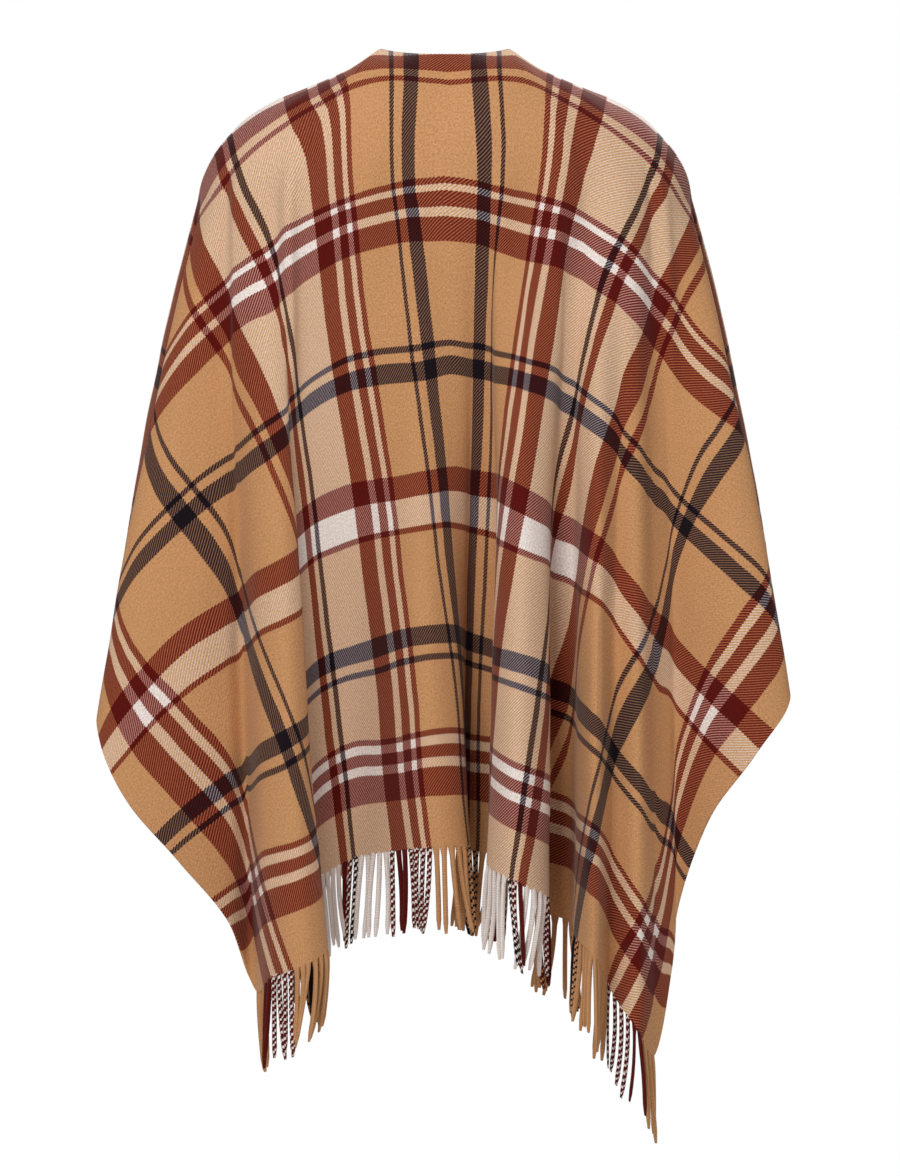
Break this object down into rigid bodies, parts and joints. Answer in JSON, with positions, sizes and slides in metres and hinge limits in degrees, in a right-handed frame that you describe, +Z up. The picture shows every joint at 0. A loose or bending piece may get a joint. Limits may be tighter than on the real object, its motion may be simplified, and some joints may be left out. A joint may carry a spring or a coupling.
{
  "type": "poncho",
  "caption": "Open-front woven wool poncho with a round neck and twisted fringe along its hems, filled out as it hangs from the shoulders.",
  "frame": {"origin": "middle of the neck opening at the height of the shoulders, where the wearer carries it", "axes": "+Z up, +X towards the wearer's right, -Y towards the wearer's back, which is the side that the picture shows"},
  "size_m": [0.6844, 0.4029, 1.0796],
  "materials": {
    "wool_plaid": "brushed wool twill, camel with brick, cream and charcoal plaid",
    "wool_yarn": "two-ply twisted wool, in the colours of the warps above each strand"
  },
  "bodies": {
    "root": {"poncho_cloth": "wool_plaid", "fringe_back": "wool_yarn", "fringe_front_right": "wool_yarn", "fringe_front_left": "wool_yarn"}
  },
  "joints": []
}
